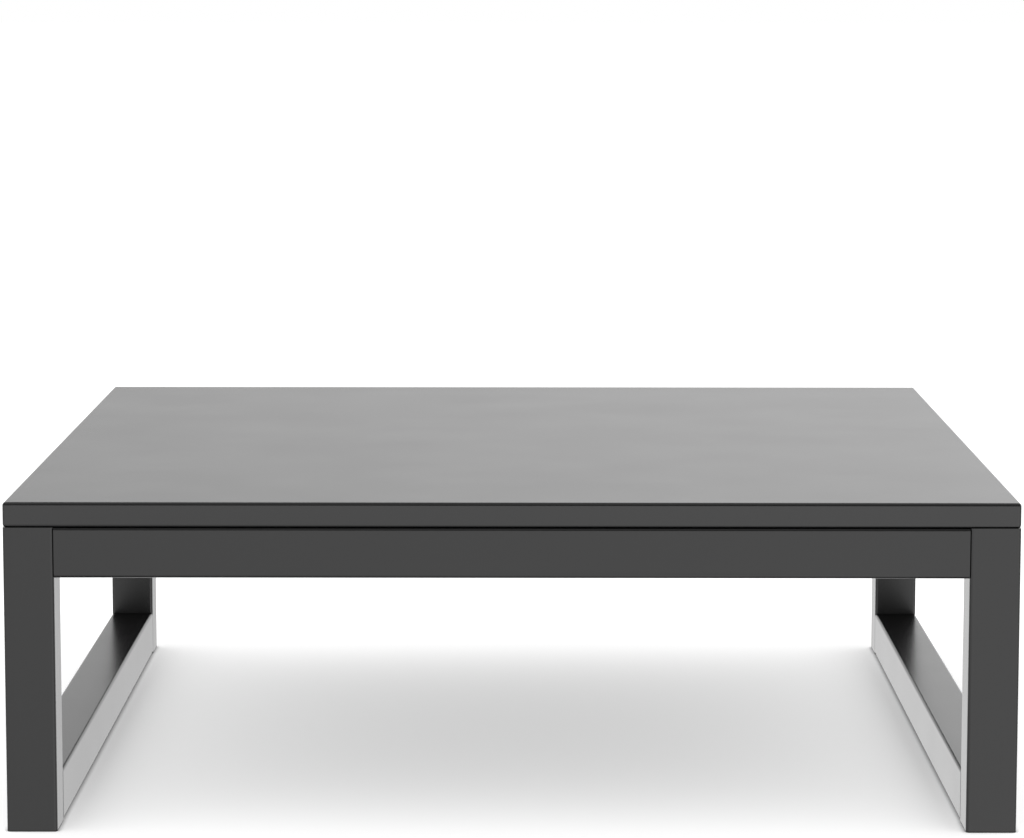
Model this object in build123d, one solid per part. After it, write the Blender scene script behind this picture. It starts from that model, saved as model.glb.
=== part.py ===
from build123d import *
import os

# Low square stand of powder-coated steel: a folded sheet tray on a frame of square tube.
# Millimetres. The origin is on the floor under the middle of the stand, +Z is up,
# +X is to the right and the front faces -Y.

# Overall sizes
WIDTH = 600.0                # left to right, over the legs and the tray
DEPTH = 600.0                # front to back, over the legs and the tray
LEG_LENGTH = 182.0           # cut length of a leg tube

# Square tube of the frame
TUBE = 30.0                  # outside of the tube, both ways
TUBE_WALL = 1.5
TUBE_CORNER = 1.8            # rounding of the tube's long edges

# Top tray, folded from one sheet
TRAY_HEIGHT = 15.0           # from the frame to the top face
TRAY_SHEET = 1.5
TRAY_BEND_RADIUS = 0.5       # inside radius of the folds
TRAY_RETURN_SETBACK = 6.0    # from the return flange's edge to the tubes' inner faces
TRAY_MITRE_GAP = 0.8         # slit where two return flanges meet
TRAY_RELIEF = 3.0            # square notch at the slit's end, which keeps the folds from tearing
TRAY_RELIEF_EDGE = 0.5       # from that notch to the start of the folds
TRAY_STUD_INSET = 80.0       # from a top rail's end to the nearer weld stud

# Hat-section stiffeners, spot-welded under the tray sheet
STIFFENER_NAMES = ("left", "centre", "right")
STIFFENER_HEIGHT = 11.0
STIFFENER_CROWN = 22.0       # width of the crown
STIFFENER_SLOPE = 4.0        # how far each web leans out from crown to flange
STIFFENER_FLANGE = 14.0      # width of the welded flange on each side
STIFFENER_SHEET = 1.2
STIFFENER_BEND_RADIUS = 1.0  # inside radius of the folds
STIFFENER_END_GAP = 6.0      # from a stiffener's end to the return flange

# Corner brackets, welded to the top rails and bolted to the aprons
BRACKET_RAIL_ARM = 34.0      # welded arm, from the outside of the fold
BRACKET_APRON_ARM = 48.0     # bolted arm, from the outside of the fold
BRACKET_MARGIN = 4.0         # from the bracket's long edges to the tube's
BRACKET_SHEET = 3.0
BRACKET_BEND_RADIUS = 2.0    # inside radius of the fold
BRACKET_CORNER_CUT = 4.0     # chamfer of the arms' free corners
BRACKET_FIRST_HOLE = 17.0    # from the outside of the fold to the nearer bolt
BRACKET_HOLE_PITCH = 19.0    # between the bolts
BRACKET_BOLTS = 2            # per bracket

# Bolts, weld studs and nuts, all of one thread
BOLT = 6.0                   # shank of the bolts and studs
BOLT_HEAD_HEIGHT = 4.0
BOLT_PAST_NUT = 2.0          # shank that shows past a nut
BOLT_CLEARANCE = 0.6         # extra diameter of a hole that a shank passes through
NUT = 10.0                   # bolt heads, hexagon nuts and square weld nuts, across flats
NUT_HEIGHT = 5.0
THREAD_CLEARANCE = 0.1       # extra diameter of a nut's bore

# Ribbed plastic glides plugged into the lower ends of the legs
GLIDE_HEAD = 0.8             # thickness of the head under the tube's end
GLIDE_LENGTH = 18.0          # from the tube's end to the top of the hollow square core
GLIDE_CORE_WALL = 2.0
GLIDE_FIN_COUNT = 3
GLIDE_FIN_THICKNESS = 1.2
GLIDE_FIN_REACH = 2.4        # how far a fin stands out of the core
GLIDE_FIN_GAP = 0.1          # between a fin and the inside of the tube

# Heights and offsets that follow from these sizes
TUBE_BORE = TUBE - 2 * TUBE_WALL
FRAME_TOP = GLIDE_HEAD + LEG_LENGTH
LEG_X = (WIDTH - TUBE) / 2
LEG_Y = (DEPTH - TUBE) / 2
INNER_X = WIDTH / 2 - TUBE
INNER_Y = DEPTH / 2 - TUBE
UPPER_TUBE_Z = FRAME_TOP - TUBE / 2
LOWER_TUBE_Z = GLIDE_HEAD + TUBE / 2
TRAY_OUTSIDE_RADIUS = TRAY_BEND_RADIUS + TRAY_SHEET
TRAY_RETURN = TUBE - TRAY_RETURN_SETBACK
TRAY_MOUTH_X = WIDTH - 2 * TRAY_RETURN
TRAY_MOUTH_Y = DEPTH - 2 * TRAY_RETURN
TRAY_SHEET_UNDERSIDE = FRAME_TOP + TRAY_HEIGHT - TRAY_SHEET
STIFFENER_PITCH = TRAY_MOUTH_X / len(STIFFENER_NAMES)
BOLT_HOLE = BOLT + BOLT_CLEARANCE
BRACKET_BOLT_LENGTH = BRACKET_SHEET + TUBE_WALL + NUT_HEIGHT + BOLT_PAST_NUT
TRAY_STUD_LENGTH = TUBE + NUT_HEIGHT + BOLT_PAST_NUT

SIDES = {"left": -1, "right": 1}
ENDS = {"front": -1, "rear": 1}


def at_corners(shape):
    """A shape of the front left corner, mirrored to all four corners and kept by their names."""
    copies = {}
    for end_name, end in ENDS.items():
        for side_name, side in SIDES.items():
            copy = shape if side < 0 else mirror(shape, Plane.YZ)
            copies[f"{end_name}_{side_name}"] = copy if end < 0 else mirror(copy, Plane.XZ)
    return copies


def drill(reach):
    """Drill for a bolt hole, reaching as far above the origin as below it."""
    return Cylinder(BOLT_HOLE / 2, 2 * reach)


def square_tube(length):
    """Square tube with rounded long edges and square-cut ends, standing on the origin."""
    return extrude(RectangleRounded(TUBE, TUBE, TUBE_CORNER) - Rectangle(TUBE_BORE, TUBE_BORE), length)


def folded_strip(points, thickness, inside_radius):
    """Section of a strip folded along these points, its thickness to the right of the path."""
    radii = []
    for before, corner, after in zip(points, points[1:], points[2:]):
        turn = (Vector(corner) - Vector(before)).cross(Vector(after) - Vector(corner)).Z
        radii.append(inside_radius + thickness if turn < 0 else inside_radius)
    fold = FilletPolyline(*points, radius=radii)
    return make_face(offset(fold, amount=thickness, side=Side.RIGHT))


def shank(length):
    """Threaded shank hanging below the origin."""
    return extrude(Circle(BOLT / 2), -length)


def nut(outline):
    """Nut of this outline, hanging below the origin."""
    return extrude(outline - Circle((BOLT + THREAD_CLEARANCE) / 2), -NUT_HEIGHT)


def glide():
    """Plug standing on the origin: a thin head, and a hollow core with fins inside the tube."""
    fin_size = TUBE_BORE - 2 * GLIDE_FIN_GAP
    core_size = fin_size - 2 * GLIDE_FIN_REACH
    hollow = Rectangle(core_size - 2 * GLIDE_CORE_WALL, core_size - 2 * GLIDE_CORE_WALL)
    head = extrude(RectangleRounded(TUBE, TUBE, TUBE_CORNER), GLIDE_HEAD)
    core = extrude(Rectangle(core_size, core_size) - hollow, GLIDE_LENGTH)
    fin = extrude(Rectangle(fin_size, fin_size) - hollow, GLIDE_FIN_THICKNESS)
    fin_pitch = GLIDE_LENGTH / (GLIDE_FIN_COUNT + 1)
    fins = [Pos(0, 0, (step + 1) * fin_pitch) * fin for step in range(GLIDE_FIN_COUNT)]
    return head + Pos(0, 0, GLIDE_HEAD) * (core + fins)


def corner_bracket():
    """Folded angle in the inside corner of the origin, bolted arm along +X, welded arm along +Y."""
    path = [(BRACKET_APRON_ARM, 0), (0, 0), (0, BRACKET_RAIL_ARM)]
    section = folded_strip(path, BRACKET_SHEET, BRACKET_BEND_RADIUS)
    angle = extrude(section, TUBE / 2 - BRACKET_MARGIN, both=True)
    apron_corners = angle.edges().filter_by(Axis.Y).group_by(Axis.X)[-1]
    rail_corners = angle.edges().filter_by(Axis.X).group_by(Axis.Y)[-1]
    return chamfer(apron_corners + rail_corners, BRACKET_CORNER_CUT)


def top_tray():
    """Tray folded from one sheet, standing on the origin: top, skirt and return flange."""
    standing = (Align.CENTER, Align.CENTER, Align.MIN)
    room_height = TRAY_HEIGHT - 2 * TRAY_SHEET
    outside = fillet(Box(WIDTH, DEPTH, TRAY_HEIGHT, align=standing).edges(), TRAY_OUTSIDE_RADIUS)
    room = Box(WIDTH - 2 * TRAY_SHEET, DEPTH - 2 * TRAY_SHEET, room_height, align=standing)
    room = fillet(room.edges().filter_by(Axis.Z, reverse=True), TRAY_BEND_RADIUS)
    mouth = Box(TRAY_MOUTH_X, TRAY_MOUTH_Y, 4 * TRAY_SHEET)
    tray = outside - Pos(0, 0, TRAY_SHEET) * room - mouth
    return tray - list(at_corners(mitre_slit()).values())


def mitre_slit():
    """Slit between the front left return flanges, from inside the mouth out to a relief notch."""
    relief = TRAY_OUTSIDE_RADIUS + TRAY_RELIEF_EDGE + TRAY_RELIEF / 2
    run = (TRAY_RETURN + TRAY_MITRE_GAP - relief) * 2 ** 0.5
    slit = Rot(0, 0, 45) * Pos(run / 2, 0, 0) * Box(run, TRAY_MITRE_GAP, 4 * TRAY_SHEET)
    notch = Box(TRAY_RELIEF, TRAY_RELIEF, 4 * TRAY_SHEET)
    return Pos(relief - WIDTH / 2, relief - DEPTH / 2, 0) * (slit + notch)


def tray_stiffener():
    """Hat section running along Y, its flanges up against the origin's level."""
    crown = STIFFENER_CROWN / 2
    foot = crown + STIFFENER_SLOPE
    tip = foot + STIFFENER_FLANGE
    depth = STIFFENER_SHEET - STIFFENER_HEIGHT
    path = [(-tip, 0), (-foot, 0), (-crown, depth), (crown, depth), (foot, 0), (tip, 0)]
    section = Plane.XZ * folded_strip(path, STIFFENER_SHEET, STIFFENER_BEND_RADIUS)
    return extrude(section, TRAY_MOUTH_Y / 2 - STIFFENER_END_GAP, both=True)


nodes = {}

# Side frames: legs with their glides, and rails that butt against the legs and are welded.
leg_foot = Pos(-LEG_X, -LEG_Y, 0)
for name, leg in at_corners(leg_foot * Pos(0, 0, GLIDE_HEAD) * square_tube(LEG_LENGTH)).items():
    nodes[f"{name}_leg"] = leg
for name, plug in at_corners(leg_foot * glide()).items():
    nodes[f"{name}_glide"] = plug

stud_seat = Pos(-LEG_X, TRAY_STUD_INSET - INNER_Y, FRAME_TOP)
stud_holes = list(at_corners(stud_seat * drill(2 * TUBE)).values())
rail = Pos(0, INNER_Y, 0) * Rot(90, 0, 0) * square_tube(2 * INNER_Y)
for name, side in SIDES.items():
    nodes[f"{name}_bottom_rail"] = Pos(side * LEG_X, 0, LOWER_TUBE_Z) * rail
    nodes[f"{name}_top_rail"] = Pos(side * LEG_X, 0, UPPER_TUBE_Z) * rail - stud_holes

# Aprons between the side frames, each end bolted to a bracket.
inside_corner = Pos(-INNER_X, -INNER_Y, UPPER_TUBE_Z)
bracket_seats = [
    inside_corner * Pos(BRACKET_FIRST_HOLE + step * BRACKET_HOLE_PITCH, 0, 0) * Rot(-90, 0, 0)
    for step in range(BRACKET_BOLTS)
]
bracket_drills = [seat * drill(2 * BRACKET_SHEET) for seat in bracket_seats]
bracket_holes = [hole for part in bracket_drills for hole in at_corners(part).values()]
for name, bracket in at_corners(inside_corner * corner_bracket() - bracket_drills).items():
    nodes[f"{name}_corner_bracket"] = bracket

apron = Pos(-INNER_X, 0, 0) * Rot(0, 90, 0) * square_tube(2 * INNER_X)
for name, end in ENDS.items():
    nodes[f"{name}_apron"] = Pos(0, end * LEG_Y, UPPER_TUBE_Z) * apron - bracket_holes

hexagon = RegularPolygon(NUT / 2, 6, major_radius=False)
square = Rectangle(NUT, NUT)
bolt = extrude(hexagon, BOLT_HEAD_HEIGHT) + shank(BRACKET_BOLT_LENGTH)
bracket_bolt = Pos(0, 0, BRACKET_SHEET) * bolt
bracket_nut = Pos(0, 0, -TUBE_WALL) * nut(square)
for name, piece in (("bracket_bolts", bracket_bolt), ("bracket_weld_nuts", bracket_nut)):
    copies = [copy for seat in bracket_seats for copy in at_corners(seat * piece).values()]
    nodes[name] = Compound(children=copies)

# Top tray with its stiffeners, held down by studs that pass through the top rails.
nodes["top_tray"] = Pos(0, 0, FRAME_TOP) * top_tray()
for step, name in enumerate(STIFFENER_NAMES):
    place = (step - (len(STIFFENER_NAMES) - 1) / 2) * STIFFENER_PITCH
    nodes[f"{name}_tray_stiffener"] = Pos(place, 0, TRAY_SHEET_UNDERSIDE) * tray_stiffener()

tray_stud = stud_seat * shank(TRAY_STUD_LENGTH)
tray_nut = stud_seat * Pos(0, 0, -TUBE) * nut(hexagon)
nodes["tray_studs"] = Compound(children=list(at_corners(tray_stud).values()))
nodes["tray_nuts"] = Compound(children=list(at_corners(tray_nut).values()))

os.makedirs("parts", exist_ok=True)
for name, shape in nodes.items():
    export_step(shape, f"parts/{name}.step")
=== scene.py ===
import math

import bmesh
import bpy
from mathutils import Matrix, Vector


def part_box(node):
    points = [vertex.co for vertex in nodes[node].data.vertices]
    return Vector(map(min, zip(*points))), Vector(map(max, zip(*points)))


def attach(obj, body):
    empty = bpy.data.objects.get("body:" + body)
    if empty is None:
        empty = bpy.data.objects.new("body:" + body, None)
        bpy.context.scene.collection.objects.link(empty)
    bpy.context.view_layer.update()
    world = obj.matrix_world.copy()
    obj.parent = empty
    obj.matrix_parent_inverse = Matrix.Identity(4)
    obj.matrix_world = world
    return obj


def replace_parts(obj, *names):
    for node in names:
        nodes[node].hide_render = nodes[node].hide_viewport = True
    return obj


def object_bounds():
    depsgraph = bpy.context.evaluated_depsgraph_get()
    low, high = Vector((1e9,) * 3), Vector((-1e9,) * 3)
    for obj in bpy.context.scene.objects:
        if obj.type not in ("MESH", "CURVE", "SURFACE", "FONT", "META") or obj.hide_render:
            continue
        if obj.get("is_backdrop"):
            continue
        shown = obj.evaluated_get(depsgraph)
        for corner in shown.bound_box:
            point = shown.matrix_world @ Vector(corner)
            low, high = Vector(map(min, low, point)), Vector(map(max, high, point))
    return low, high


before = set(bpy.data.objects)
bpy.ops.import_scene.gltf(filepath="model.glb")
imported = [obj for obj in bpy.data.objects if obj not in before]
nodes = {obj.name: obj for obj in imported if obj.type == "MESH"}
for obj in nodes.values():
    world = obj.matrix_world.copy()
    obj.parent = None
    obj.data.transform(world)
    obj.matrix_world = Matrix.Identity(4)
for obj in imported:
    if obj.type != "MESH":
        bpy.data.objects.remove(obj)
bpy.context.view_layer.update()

scene = bpy.context.scene
bpy.ops.object.select_all(action="DESELECT")


# Side frames: on each side two legs, a top rail and a bottom rail of 30 mm square steel tube.
# The tubes are cut square, butted together, welded and ground flush, then coated as one frame.
# The coat is baked polyester powder: satin black, with a faint orange peel about 1.4 mm across.
SIDES = {"left": -1, "right": 1}
ENDS = {"front": -1, "rear": 1}
CORNERS = [(f"{end}_{side}", SIDES[side], ENDS[end]) for end in ENDS for side in SIDES]
COAT_TINTS = ((0.0038, 0.0038, 0.0039, 1), (0.0052, 0.0052, 0.0053, 1))
COAT_GLOSS = (0.259, 0.273)
COAT_SPAN = (0.3, 0.7)
COAT_DRIFT_PER_METRE = 14
COAT_DRIFT_DETAIL = 3
COAT_PEEL_PER_METRE = 700
COAT_PEEL_HEIGHT = 0.00001
FRAME_REFRACTION = 1.66


def add_node(tree, kind, inputs=None, **settings):
    """Add a shader node with its settings, and link its inputs to sockets or set them to plain values."""
    made = tree.nodes.new(kind)
    for setting, value in settings.items():
        setattr(made, setting, value)
    for socket, value in (inputs or {}).items():
        if isinstance(value, bpy.types.NodeSocket):
            tree.links.new(value, made.inputs[socket])
        else:
            made.inputs[socket].default_value = value
    return made


def fade(tree, value, span, ends, shape="LINEAR"):
    """A number that goes from one end to the other while the value crosses the span."""
    limits = {"From Min": span[0], "From Max": span[1], "To Min": ends[0], "To Max": ends[1]}
    inputs = {"Value": value, **limits}
    return add_node(tree, "ShaderNodeMapRange", inputs, interpolation_type=shape).outputs["Result"]


def clouded_finish(name, tints, gloss, span, clouds, grain, **sockets):
    """Material whose colour and gloss drift with a cloudy noise, under the raised grain of a finer noise.

    Clouds are their number per metre and their detail, grain is its number per metre and its height,
    and the other values go to the shader's own sockets.
    """
    material = bpy.data.materials.new(name)
    material.use_nodes = True
    tree = material.node_tree
    shader = tree.nodes["Principled BSDF"]
    for socket, value in sockets.items():
        shader.inputs[socket].default_value = value
    place = add_node(tree, "ShaderNodeTexCoord").outputs["Object"]
    noise = {"Vector": place, "Scale": clouds[0], "Detail": clouds[1]}
    cloud = add_node(tree, "ShaderNodeTexNoise", noise).outputs["Fac"]
    tint = add_node(tree, "ShaderNodeValToRGB", {"Fac": cloud})
    for stop, position, colour in zip(tint.color_ramp.elements, span, tints):
        stop.position = position
        stop.color = colour
    tree.links.new(tint.outputs["Color"], shader.inputs["Base Color"])
    tree.links.new(fade(tree, cloud, span, gloss), shader.inputs["Roughness"])
    bumps = add_node(tree, "ShaderNodeTexNoise", {"Vector": place, "Scale": grain[0]}).outputs["Fac"]
    skin = add_node(tree, "ShaderNodeBump", {"Height": bumps, "Distance": grain[1]}, name="skin")
    tree.links.new(skin.outputs["Normal"], shader.inputs["Normal"])
    return material


def coat_finish(name, refraction):
    """Material of the satin black coat."""
    return clouded_finish(
        name,
        tints=COAT_TINTS,
        gloss=COAT_GLOSS,
        span=COAT_SPAN,
        clouds=(COAT_DRIFT_PER_METRE, COAT_DRIFT_DETAIL),
        grain=(COAT_PEEL_PER_METRE, COAT_PEEL_HEIGHT),
        IOR=refraction,
    )


def dress(name, finish):
    """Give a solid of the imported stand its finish."""
    nodes[name].material_slots[0].material = finish


frame_coat = coat_finish("frame_coat", FRAME_REFRACTION)
for corner, side, end in CORNERS:
    dress(f"{corner}_leg", frame_coat)
for side in SIDES:
    dress(f"{side}_top_rail", frame_coat)
    dress(f"{side}_bottom_rail", frame_coat)

# Corner brackets: 3 mm steel folded to an angle, its free corners cut off and its bolt holes punched.
# One arm is welded to the top rail, the other takes the bolts of the apron; coated with the frame.
for corner, side, end in CORNERS:
    dress(f"{corner}_corner_bracket", frame_coat)

# Bracket welds: a hand-laid stitch of fillet weld along the upper and the lower edge of each welded arm.
# The ripples are the puddle's steps; the bead is brushed and coated over with the frame.
WELD_LEG = 0.002
WELD_LENGTH = 0.020
WELD_RIPPLES = 12
WELD_RIPPLE_DEPTH = 0.12
WELD_RIPPLE_STEPS = 4
WELD_END = 0.3
WELD_END_STEPS = 4
WELD_TURNS = 8
WELD_SMOOTH = math.radians(45)
SAME_SPOT = 0.000001


def pick(piece, kind, chosen):
    """In edit mode, select only those vertices, edges or faces of the piece that the test chooses."""
    bpy.ops.mesh.select_mode(type=kind)
    bpy.ops.mesh.select_all(action="DESELECT")
    shape = bmesh.from_edit_mesh(piece.data)
    for element in {"VERT": shape.verts, "EDGE": shape.edges, "FACE": shape.faces}[kind]:
        element.select_set(chosen(element))
    shape.select_flush_mode()
    bmesh.update_edit_mesh(piece.data)


def close_up():
    """Merge what lies on one spot, turn all faces outwards and leave edit mode."""
    bpy.ops.mesh.select_all(action="SELECT")
    bpy.ops.mesh.remove_doubles(threshold=SAME_SPOT)
    bpy.ops.mesh.normals_make_consistent(inside=False)
    bpy.ops.object.mode_set(mode="OBJECT")


def settle(piece, name, place, finish):
    """A copy of a piece with its own mesh, set in its place and riding on the stand."""
    copy = piece.copy()
    copy.data = piece.data.copy()
    copy.data.transform(place)
    copy.data.materials.clear()
    copy.data.materials.append(finish)
    copy.name = name
    copy.data.name = name
    scene.collection.objects.link(copy)
    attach(copy, "root")
    return copy


# A strip along X gets a rippled edge, and is swept a quarter turn from +Y to +Z about its straight edge.
columns = WELD_RIPPLES * WELD_RIPPLE_STEPS
bpy.ops.mesh.primitive_grid_add(x_subdivisions=columns, y_subdivisions=1, size=1)
bead = bpy.context.object
bpy.ops.object.mode_set(mode="EDIT")
bpy.ops.transform.translate(value=(0, 0.5, 0))
bpy.ops.transform.resize(value=(WELD_LENGTH, WELD_LEG, 1), center_override=(0, 0, 0))
step = WELD_LENGTH / columns
for column in range(columns + 1):
    to_crest = 1 - column % WELD_RIPPLE_STEPS / WELD_RIPPLE_STEPS
    to_end = min(column, columns - column) / WELD_END_STEPS
    height = 1 - WELD_RIPPLE_DEPTH * to_crest ** 2
    height *= 1 - (1 - WELD_END) * max(0, 1 - to_end) ** 2
    pick(bead, "VERT", lambda v: v.co.y > 0 and round(v.co.x / step + columns / 2) == column)
    bpy.ops.transform.resize(value=(1, height, 1), center_override=(0, 0, 0))
bpy.ops.mesh.select_all(action="SELECT")
bpy.ops.mesh.spin(steps=WELD_TURNS, angle=math.radians(-90), center=(0, 0, 0), axis=(1, 0, 0))
close_up()
bpy.ops.object.shade_smooth_by_angle(angle=WELD_SMOOTH)

for corner, side, end in CORNERS:
    low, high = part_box(f"{corner}_corner_bracket")
    rail_face = low[0] if side < 0 else high[0]
    arm_middle = (low[1] + high[1]) / 2
    along_rail = Matrix.Rotation(math.radians(90 * side), 4, "Z")
    for edge, level, roll in (("upper", high[2], 0), ("lower", low[2], -90)):
        place = Matrix.Translation((rail_face, arm_middle, level)) @ along_rail
        place = place @ Matrix.Rotation(math.radians(roll), 4, "X")
        settle(bead, f"{corner}_bracket_{edge}_weld", place, frame_coat)
bpy.data.objects.remove(bead)

# Aprons: the same square tube, front and rear, bolted between the side frames, so the stand packs flat.
# Square nuts are projection-welded inside each end before coating; masked, they keep their zinc plating.
ZINC_TINTS = ((0.5, 0.51, 0.53, 1), (0.66, 0.67, 0.69, 1))
ZINC_GLOSS = (0.44, 0.28)
ZINC_SPAN = (0.35, 0.65)
ZINC_MOTTLE_PER_METRE = 420
ZINC_MOTTLE_DETAIL = 4
ZINC_GRAIN_PER_METRE = 5200
ZINC_GRAIN_HEIGHT = 0.000004

zinc = clouded_finish(
    "zinc_plating",
    tints=ZINC_TINTS,
    gloss=ZINC_GLOSS,
    span=ZINC_SPAN,
    clouds=(ZINC_MOTTLE_PER_METRE, ZINC_MOTTLE_DETAIL),
    grain=(ZINC_GRAIN_PER_METRE, ZINC_GRAIN_HEIGHT),
    Metallic=1,
)
for end in ENDS:
    dress(f"{end}_apron", frame_coat)
dress("bracket_weld_nuts", zinc)

# Bracket bolts: eight zinc-plated hexagon bolts, cold forged, with a turned chamfer on the head.
# Two at each end of an apron go through the bracket and the tube wall into the weld nuts.
HALF_FACE = math.radians(30)
ACROSS_FLATS = 0.010
ACROSS_CORNERS = ACROSS_FLATS / math.cos(HALF_FACE)
CHAMFER_CIRCLE = 0.0095
CHAMFER_SLOPE = math.radians(30)
CHAMFER_BLANK = 1.02 * ACROSS_CORNERS
CHAMFER_STEPS = 60
END_FACE_LEAN = 0.9
HEAD_HEIGHT = 0.004
BOLT_LENGTH = 0.0115
BOLT_SMOOTH = math.radians(25)
THREAD = 0.006
THREAD_PITCH = 0.001
THREAD_DEPTH = 0.0006
THREAD_LAND = 0.125 * THREAD_PITCH
THREAD_FLANK = 0.3125 * THREAD_PITCH
THREAD_RUN_IN = 1.48 * THREAD_PITCH
THREAD_SPARE_TURNS = 3
THREAD_STEPS = 20
CUT_LIMIT = 0.0000001
TIP_LENGTH = 0.0008
TIP_SHARE = 0.84
BRACKET_SHEET = 0.003
FIRST_BOLT = 0.017
BOLT_PITCH = 0.019
BOLT_COUNT = 2


def machine(piece, tool, operation):
    """Cut a piece with a tool shape by a boolean, and put the tool away."""
    cut = piece.modifiers.new("cut", "BOOLEAN")
    cut.object = tool
    cut.operation = operation
    cut.solver = "EXACT"
    bpy.context.view_layer.objects.active = piece
    bpy.ops.object.modifier_apply(modifier=cut.name)
    bpy.data.objects.remove(tool)


def hexagon(height, ends):
    """Hexagon standing on the origin, turned to a chamfer at its top or at both its ends."""
    bpy.ops.mesh.primitive_cylinder_add(vertices=6, radius=ACROSS_CORNERS / 2, depth=height)
    blank = bpy.context.object
    blank.data.transform(Matrix.Rotation(HALF_FACE, 4, "Z"))
    inset = (CHAMFER_BLANK - CHAMFER_CIRCLE) / 2
    drop = inset * math.tan(CHAMFER_SLOPE)
    bpy.ops.mesh.primitive_cylinder_add(vertices=CHAMFER_STEPS, radius=CHAMFER_BLANK / 2, depth=height)
    turned = bpy.context.object
    bpy.ops.object.mode_set(mode="EDIT")
    for end in ends:
        pick(turned, "FACE", lambda f: f.normal.z * end > END_FACE_LEAN)
        bpy.ops.transform.translate(value=(0, 0, -end * drop))
        bpy.ops.mesh.inset(thickness=inset)
        bpy.ops.transform.translate(value=(0, 0, end * drop))
    bpy.ops.object.mode_set(mode="OBJECT")
    machine(blank, turned, "INTERSECT")
    bpy.ops.object.mode_set(mode="EDIT")
    bpy.ops.mesh.select_all(action="SELECT")
    bpy.ops.transform.translate(value=(0, 0, height / 2))
    close_up()
    return blank


def threaded_rod(length):
    """Threaded rod hanging below the origin, its rolled thread run in to a blunt tip."""
    crest = ((0, THREAD_LAND), (THREAD_DEPTH, THREAD_FLANK), (0, THREAD_LAND))
    profile = crest + ((-THREAD_DEPTH, THREAD_FLANK), (0, THREAD_LAND))
    bpy.ops.mesh.primitive_plane_add(size=THREAD)
    rod = bpy.context.object
    bpy.ops.object.mode_set(mode="EDIT")
    bpy.ops.mesh.select_mode(type="VERT")
    bpy.ops.mesh.select_all(action="SELECT")
    bpy.ops.mesh.merge(type="CENTER")
    bpy.ops.transform.translate(value=(THREAD / 2 - THREAD_DEPTH, 0, -length - THREAD_RUN_IN))
    for out, up in profile:
        bpy.ops.mesh.extrude_region_move(TRANSFORM_OT_translate={"value": (out, 0, up)})
    bpy.ops.object.mode_set(mode="OBJECT")
    roll = rod.modifiers.new("roll", "SCREW")
    roll.screw_offset = THREAD_PITCH
    roll.iterations = math.ceil(length / THREAD_PITCH) + THREAD_SPARE_TURNS
    roll.steps = THREAD_STEPS
    roll.render_steps = THREAD_STEPS
    bpy.ops.object.modifier_apply(modifier=roll.name)
    bpy.ops.object.mode_set(mode="EDIT")
    bpy.ops.mesh.select_all(action="SELECT")
    bpy.ops.mesh.remove_doubles(threshold=SAME_SPOT)
    for level, above in ((0, True), (-length, False)):
        bpy.ops.mesh.select_all(action="SELECT")
        bpy.ops.mesh.bisect(
            plane_co=(0, 0, level),
            plane_no=(0, 0, 1),
            clear_outer=above,
            clear_inner=not above,
            threshold=CUT_LIMIT,
        )
        pick(rod, "EDGE", lambda e: e.is_boundary and all(abs(v.co.z - level) < SAME_SPOT for v in e.verts))
        bpy.ops.mesh.edge_face_add()
    pick(rod, "VERT", lambda v: v.co.z < TIP_LENGTH / 2 - length)
    bpy.ops.transform.resize(value=(TIP_SHARE, TIP_SHARE, 1), center_override=(0, 0, 0))
    close_up()
    return rod


bpy.ops.object.select_all(action="DESELECT")
rod = threaded_rod(BOLT_LENGTH)
bolt = hexagon(HEAD_HEIGHT, ends=(1,))
bpy.ops.object.select_all(action="DESELECT")
rod.select_set(True)
bolt.select_set(True)
bpy.context.view_layer.objects.active = bolt
bpy.ops.object.join()
bpy.ops.object.shade_smooth_by_angle(angle=BOLT_SMOOTH)

for corner, side, end in CORNERS:
    low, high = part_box(f"{corner}_corner_bracket")
    fold = low if side < 0 else high
    seat = (low[1] if end < 0 else high[1]) - end * BRACKET_SHEET
    for count in range(BOLT_COUNT):
        across = fold[0] - side * (FIRST_BOLT + count * BOLT_PITCH)
        place = Matrix.Translation((across, seat, (low[2] + high[2]) / 2))
        place = place @ Matrix.Rotation(math.radians(90 * end), 4, "X")
        piece = settle(bolt, f"{corner}_bracket_bolt_{count + 1}", place, zinc)
        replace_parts(piece, "bracket_bolts")
bpy.data.objects.remove(bolt)

# Tray: 1.5 mm sheet steel folded down all round and in again to a return flange, mitred at the corners.
# The corner seams are welded and ground, and the tray gets the same satin black coat by itself.
TRAY_REFRACTION = 1.7

dress("top_tray", coat_finish("tray_coat", TRAY_REFRACTION))

# Tray stiffeners: three hat sections of 1.2 mm sheet, folded and spot-welded under the tray before coating.
# Each spot weld leaves a shallow round dent in the flange, in a row along the middle of each flange.
SPOT = 0.0055
SPOT_FLAT = 0.00418
SPOT_DEPTH = 0.00018
SPOT_PITCH = 0.045
FLANGE_MIDDLE = 0.022


def figure(tree, operation, *values):
    """A number worked out from sockets and plain numbers."""
    inputs = dict(enumerate(values))
    return add_node(tree, "ShaderNodeMath", inputs, operation=operation).outputs["Value"]


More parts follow.
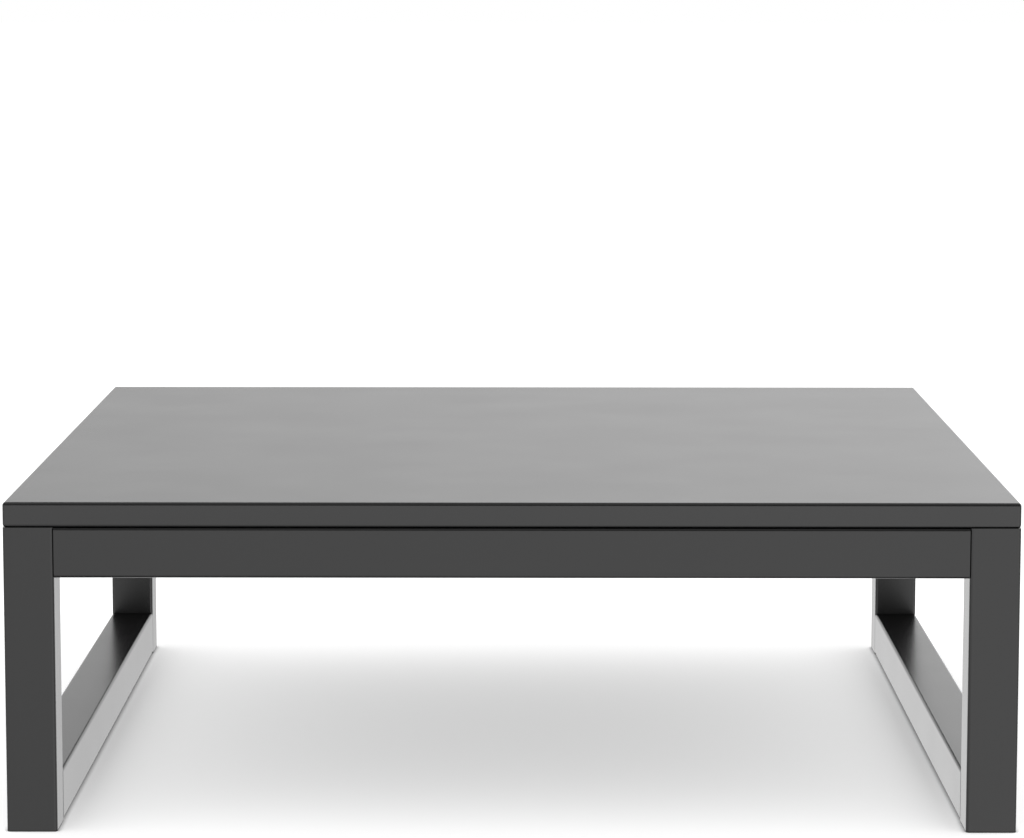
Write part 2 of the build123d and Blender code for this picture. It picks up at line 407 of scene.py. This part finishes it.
def spot_welded(material, centre):
    """Add rows of spot-weld dents, on both flanges of the hat section at that place, to its coat."""
    tree = material.node_tree
    place = add_node(tree, "ShaderNodeTexCoord").outputs["Object"]
    split = add_node(tree, "ShaderNodeSeparateXYZ", {"Vector": place}).outputs
    off_centre = figure(tree, "ABSOLUTE", figure(tree, "SUBTRACT", split["X"], centre))
    across = figure(tree, "SUBTRACT", off_centre, FLANGE_MIDDLE)
    along = figure(tree, "WRAP", split["Y"], SPOT_PITCH / 2, -SPOT_PITCH / 2)
    spot = add_node(tree, "ShaderNodeCombineXYZ", {"X": across, "Y": along}).outputs["Vector"]
    reach = add_node(tree, "ShaderNodeVectorMath", {0: spot}, operation="LENGTH").outputs["Value"]
    dent = fade(tree, reach, (SPOT_FLAT / 2, SPOT / 2), (0, 1), "SMOOTHSTEP")
    press = add_node(tree, "ShaderNodeBump", {"Height": dent, "Distance": SPOT_DEPTH})
    tree.links.new(press.outputs["Normal"], tree.nodes["skin"].inputs["Normal"])


for side in ("left", "centre", "right"):
    low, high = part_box(f"{side}_tray_stiffener")
    welded_coat = coat_finish(f"{side}_stiffener_coat", TRAY_REFRACTION)
    spot_welded(welded_coat, (low[0] + high[0]) / 2)
    dress(f"{side}_tray_stiffener", welded_coat)

# Tray studs and nuts: four zinc-plated studs, drawn-arc welded under the tray's return flange.
# They pass down through the top rails and take hexagon nuts below, out of sight from the front.
NUT_HEIGHT = 0.005
NUT_BORE = 0.0061
NUT_BORE_STEPS = 32
NUT_DRILL = 4 * NUT_HEIGHT
NUT_COUNTERSINK = 0.0004
STUD_LENGTH = 0.037
STUD_SMOOTH = math.radians(32)
STUD_INSET = 0.080


def at_bore_mouth(edge):
    """Whether an edge of the nut runs round either mouth of its bore."""
    level = abs(edge.verts[0].co.z - edge.verts[1].co.z) < NUT_COUNTERSINK
    return level and all(v.co.xy.length < NUT_BORE / 2 + NUT_COUNTERSINK / 4 for v in edge.verts)


stud = threaded_rod(STUD_LENGTH)
bpy.ops.object.shade_smooth_by_angle(angle=STUD_SMOOTH)
nut = hexagon(NUT_HEIGHT, ends=(-1, 1))
bpy.ops.mesh.primitive_cylinder_add(vertices=NUT_BORE_STEPS, radius=NUT_BORE / 2, depth=NUT_DRILL)
machine(nut, bpy.context.object, "DIFFERENCE")
bpy.ops.object.mode_set(mode="EDIT")
pick(nut, "EDGE", at_bore_mouth)
bpy.ops.mesh.bevel(offset=NUT_COUNTERSINK, segments=1)
close_up()
bpy.ops.object.shade_smooth_by_angle(angle=BOLT_SMOOTH)

for corner, side, end in CORNERS:
    low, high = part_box(f"{'left' if side < 0 else 'right'}_top_rail")
    middle = (low[0] + high[0]) / 2
    along = (low[1] if end < 0 else high[1]) - end * STUD_INSET
    place = Matrix.Translation((middle, along, high[2]))
    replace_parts(settle(stud, f"{corner}_tray_stud", place, zinc), "tray_studs")
    place = Matrix.Translation((middle, along, low[2] - NUT_HEIGHT))
    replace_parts(settle(nut, f"{corner}_tray_nut", place, zinc), "tray_nuts")
bpy.data.objects.remove(stud)
bpy.data.objects.remove(nut)

# Glides: black polyethylene plugs, injection moulded and pressed into the open lower ends of the legs.
# A thin head with a softened rim keeps the steel off the floor; fins on a hollow core grip the tube.
# The mould is spark-eroded, which leaves the plastic matt with a fine grain.
GLIDE = 0.030
GLIDE_CORNER = 0.0018
GLIDE_CORNER_STEPS = 5
GLIDE_HEAD = 0.0008
GLIDE_RIM = 0.0003
GLIDE_CORE = 0.022
GLIDE_CORE_WALL = 0.002
GLIDE_LENGTH = 0.018
GLIDE_FIN = 0.0268
GLIDE_FIN_EDGE = 0.0006
GLIDE_FIN_ROOT = 0.0012
GLIDE_FIN_COUNT = 3
GLIDE_SOLE = GLIDE - 2 * GLIDE_RIM
GLIDE_SOLE_BORDER = 0.0035
GLIDE_SOLE_DEPTH = 0.0003
GLIDE_SMOOTH = math.radians(32)
PLASTIC_TINTS = ((0.015, 0.015, 0.015, 1), (0.025, 0.025, 0.0255, 1))
PLASTIC_GLOSS = (0.548, 0.612)
PLASTIC_SPAN = (0.3, 0.7)
PLASTIC_CLOUDS_PER_METRE = 160
PLASTIC_CLOUDS_DETAIL = 3
PLASTIC_GRAIN_PER_METRE = 4000
PLASTIC_GRAIN_HEIGHT = 0.00001
PLASTIC_REFRACTION = 1.5


def pull(up, spread):
    """In edit mode, extrude the selected face up or down, and widen or narrow it about the middle."""
    bpy.ops.mesh.extrude_region_move(TRANSFORM_OT_translate={"value": (0, 0, up)})
    bpy.ops.transform.resize(value=(spread, spread, 1), center_override=(0, 0, 0))


bpy.ops.mesh.primitive_plane_add(size=GLIDE)
glide = bpy.context.object
bpy.ops.object.mode_set(mode="EDIT")
bpy.ops.mesh.bevel(affect="VERTICES", offset=GLIDE_CORNER, segments=GLIDE_CORNER_STEPS)
bpy.ops.transform.translate(value=(0, 0, GLIDE_HEAD))
pad = GLIDE_SOLE - 2 * GLIDE_SOLE_BORDER
pick(glide, "FACE", lambda f: True)
pull(GLIDE_RIM - GLIDE_HEAD, 1)
pull(-GLIDE_RIM, GLIDE_SOLE / GLIDE)
pull(0, pad / GLIDE_SOLE)
pull(GLIDE_SOLE_DEPTH, 1 - 2 * GLIDE_SOLE_DEPTH / pad)
pick(glide, "FACE", lambda f: all(abs(v.co.z - GLIDE_HEAD) < GLIDE_RIM / 2 for v in f.verts))
pull(0, GLIDE_CORE / GLIDE)
fin_pitch = GLIDE_LENGTH / (GLIDE_FIN_COUNT + 1)
for count in range(GLIDE_FIN_COUNT):
    pull(fin_pitch - (GLIDE_FIN_ROOT if count else 0), 1)
    pull(0, GLIDE_FIN / GLIDE_CORE)
    pull(GLIDE_FIN_EDGE, 1)
    pull(GLIDE_FIN_ROOT - GLIDE_FIN_EDGE, GLIDE_CORE / GLIDE_FIN)
pull(fin_pitch - GLIDE_FIN_ROOT, 1)
pull(0, 1 - 2 * GLIDE_CORE_WALL / GLIDE_CORE)
pull(-GLIDE_LENGTH, 1)
close_up()
bpy.ops.object.shade_smooth_by_angle(angle=GLIDE_SMOOTH)

plastic = clouded_finish(
    "glide_plastic",
    tints=PLASTIC_TINTS,
    gloss=PLASTIC_GLOSS,
    span=PLASTIC_SPAN,
    clouds=(PLASTIC_CLOUDS_PER_METRE, PLASTIC_CLOUDS_DETAIL),
    grain=(PLASTIC_GRAIN_PER_METRE, PLASTIC_GRAIN_HEIGHT),
    IOR=PLASTIC_REFRACTION,
)
for corner, side, end in CORNERS:
    low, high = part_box(f"{corner}_glide")
    place = Matrix.Translation(((low[0] + high[0]) / 2, (low[1] + high[1]) / 2, low[2]))
    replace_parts(settle(glide, f"{corner}_plug", place, plastic), f"{corner}_glide")
bpy.data.objects.remove(glide)

# Floor: a wide white paper sweep that takes the stand's soft shadow, with painted shade close to the feet
# and the bottom rails: an occlusion node darkens its colour and its glow within a few millimetres of the
# steel.
# It is lifted to white for the camera, clear from below, and left out of reflections, which show the walls.
FLOOR_SIZE = 60
FLOOR_COLOUR = (0.925, 0.925, 0.925, 1)
FLOOR_LIFT = 0.46
PAINTED_SHADE_REACH = 0.003
PAINTED_SHADE_SAMPLES = 8

bpy.ops.mesh.primitive_plane_add(size=FLOOR_SIZE)
floor = bpy.context.object
floor.name = "studio_floor"
floor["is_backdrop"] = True
floor.visible_glossy = False
sweep = bpy.data.materials.new("white_sweep")
sweep.use_nodes = True
tree = sweep.node_tree
tree.nodes.clear()
# Painted contact shade: the occlusion darkens the paper's colour and its camera glow where the steel is
# near.
painted_shade_settings = {"Color": FLOOR_COLOUR, "Distance": PAINTED_SHADE_REACH}
painted_contact_shade = add_node(tree, "ShaderNodeAmbientOcclusion", painted_shade_settings, samples=PAINTED_SHADE_SAMPLES).outputs
paper = add_node(tree, "ShaderNodeBsdfDiffuse", {"Color": painted_contact_shade["Color"]})
to_camera = add_node(tree, "ShaderNodeLightPath").outputs["Is Camera Ray"]
lift = figure(tree, "MULTIPLY", to_camera, FLOOR_LIFT)
glow = add_node(tree, "ShaderNodeEmission", {"Color": painted_contact_shade["AO"], "Strength": lift})
lit = add_node(tree, "ShaderNodeAddShader", {0: paper.outputs["BSDF"], 1: glow.outputs["Emission"]})
clear = add_node(tree, "ShaderNodeBsdfTransparent")
under = add_node(tree, "ShaderNodeNewGeometry").outputs["Backfacing"]
faces = {"Fac": under, 1: lit.outputs["Shader"], 2: clear.outputs["BSDF"]}
sheet = add_node(tree, "ShaderNodeMixShader", faces).outputs["Shader"]
add_node(tree, "ShaderNodeOutputMaterial", {"Surface": sheet})
floor.data.materials.append(sweep)

# Light: even white light from all round, as in a light tent of white cloth.
# Glossy steel reflects its walls: bright in front and behind, brighter to the right, dimmer at the sides and
# overhead, with dark gaps between. Only first reflections show them, so that inner corners stay black.
CLOTH_COLOUR = (1, 1, 1, 1)
REAR_LEVEL = 1.19
FRONT_LEVEL = 1.22
FRONT_TO_REAR = (-0.1, 0.1)
GAP_LEVEL = 0.1
WALL_TILT = (-1.65, -0.15)
WALL_TILT_SPAN = (-0.15, 0.15)
WALL_EDGE = (0.25, 0.7)
FRONT_TOP = (0.03, 0.22)
SIDE_SHARE = 0.5
SIDE_EDGE = (0.8, 0.95)
ROOF_SHARE = 0.3
ROOF_EDGE = (0.6, 0.95)
FIRST_REFLECTION = 1.5

tent = bpy.data.worlds.new("light_tent")
scene.world = tent
tent.use_nodes = True
tree = tent.node_tree
ray = add_node(tree, "ShaderNodeLightPath").outputs
place = add_node(tree, "ShaderNodeTexCoord").outputs["Generated"]
split = add_node(tree, "ShaderNodeSeparateXYZ", {"Vector": place}).outputs

tilt = fade(tree, split["X"], WALL_TILT_SPAN, WALL_TILT)
middle = fade(tree, split["Y"], FRONT_TO_REAR, (FRONT_LEVEL, REAR_LEVEL))
level = figure(tree, "MULTIPLY_ADD", figure(tree, "MULTIPLY", split["Y"], split["Z"]), tilt, middle)

behind = fade(tree, split["Y"], FRONT_TO_REAR, (0, 1))
low_front = fade(tree, split["Z"], FRONT_TOP, (1, 0), "SMOOTHSTEP")
facing = fade(tree, figure(tree, "ABSOLUTE", split["Y"]), WALL_EDGE, (0, 1), "SMOOTHSTEP")
walls = figure(tree, "MULTIPLY", facing, figure(tree, "MAXIMUM", behind, low_front))
flanks = fade(tree, figure(tree, "ABSOLUTE", split["X"]), SIDE_EDGE, (0, SIDE_SHARE), "SMOOTHSTEP")
roof = fade(tree, split["Z"], ROOF_EDGE, (0, ROOF_SHARE), "SMOOTHSTEP")
bright = figure(tree, "MAXIMUM", walls, figure(tree, "MAXIMUM", flanks, roof))
first = figure(tree, "LESS_THAN", ray["Glossy Depth"], FIRST_REFLECTION)
shown = figure(tree, "MULTIPLY", bright, first)
levels = {"Factor": shown, "A": GAP_LEVEL, "B": level}
strength = add_node(tree, "ShaderNodeMix", levels).outputs["Result"]

cloth = tree.nodes["Background"]
cloth.inputs["Color"].default_value = CLOTH_COLOUR
wall = add_node(tree, "ShaderNodeBackground", {"Color": CLOTH_COLOUR, "Strength": strength})
seen = {"Fac": ray["Is Glossy Ray"], 1: cloth.outputs["Background"], 2: wall.outputs["Background"]}
around = add_node(tree, "ShaderNodeMixShader", seen).outputs["Shader"]
tree.links.new(around, tree.nodes["World Output"].inputs["Surface"])

# Camera: a long lens almost square to the front, looking down seven degrees on the stand.
# Its lens, place and angles were fitted to the straight edges of the stand in the photograph.
CAMERA_SENSOR = 36
CAMERA_LENS = 129.34
CAMERA_PLACE = (0.00602, -2.4408, 0.5117)
CAMERA_TURN = math.radians(0.1575)
CAMERA_FALL = math.radians(7.034)
CAMERA_ROLL = math.radians(0.0354)

sight = bpy.data.cameras.new("front_view")
sight.sensor_width = CAMERA_SENSOR
sight.lens = CAMERA_LENS
camera = bpy.data.objects.new("front_view", sight)
scene.collection.objects.link(camera)
camera.matrix_world = (
    Matrix.Translation(CAMERA_PLACE)
    @ Matrix.Rotation(CAMERA_TURN, 4, "Z")
    @ Matrix.Rotation(math.radians(90) - CAMERA_FALL, 4, "X")
    @ Matrix.Rotation(CAMERA_ROLL, 4, "Z")
)
scene.camera = camera
scene.view_settings.view_transform = "Standard"

# Sizes: the box of the finished stand, over every shown solid but the floor.
low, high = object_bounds()
